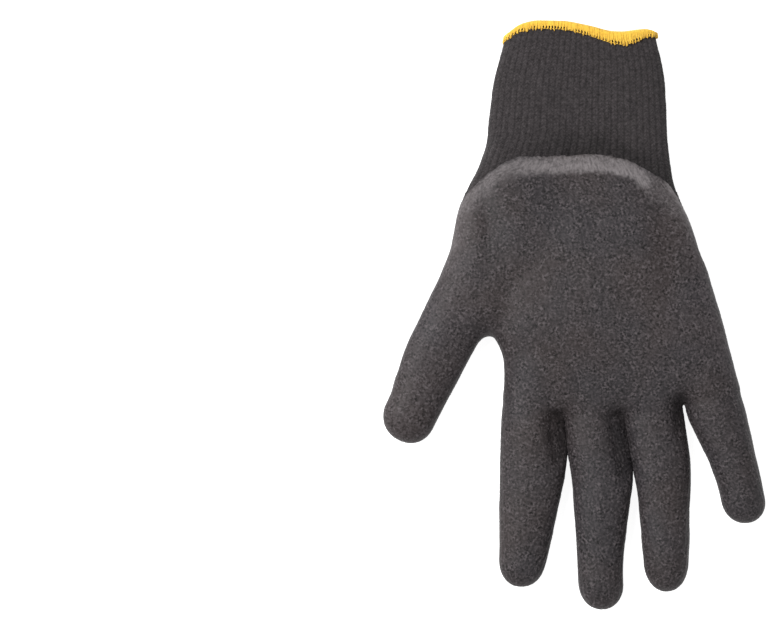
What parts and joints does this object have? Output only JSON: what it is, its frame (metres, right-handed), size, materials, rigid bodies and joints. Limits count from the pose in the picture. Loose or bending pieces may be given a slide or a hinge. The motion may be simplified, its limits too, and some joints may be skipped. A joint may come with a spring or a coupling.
{
  "type": "latex coated grip glove",
  "caption": "Knitted work glove for the right hand with a latex coated palm, fingertips and thumb, a rib knit cuff and an overlocked hem.",
  "frame": {"origin": "centre of the glove's footprint, on the surface it lies on", "axes": "+Y towards the cuff, -Y towards the fingertips, -X towards the thumb, +Z out of the coated palm"},
  "size_m": [0.1648, 0.255, 0.0263],
  "materials": {
    "knit_yarn": "plain knitted yarn, matte",
    "rib_yarn": "rib knitted yarn, matte",
    "hem_thread": "overlocked thread, matte",
    "latex": "crinkled latex dip, matte"
  },
  "bodies": {
    "root": {"knit_palm": "knit_yarn", "index_stall": "knit_yarn", "middle_stall": "knit_yarn", "ring_stall": "knit_yarn", "little_stall": "knit_yarn", "thumb_stall": "knit_yarn", "rib_cuff": "rib_yarn", "overlock_hem": "hem_thread", "latex_coating": "latex"}
  },
  "joints": []
}
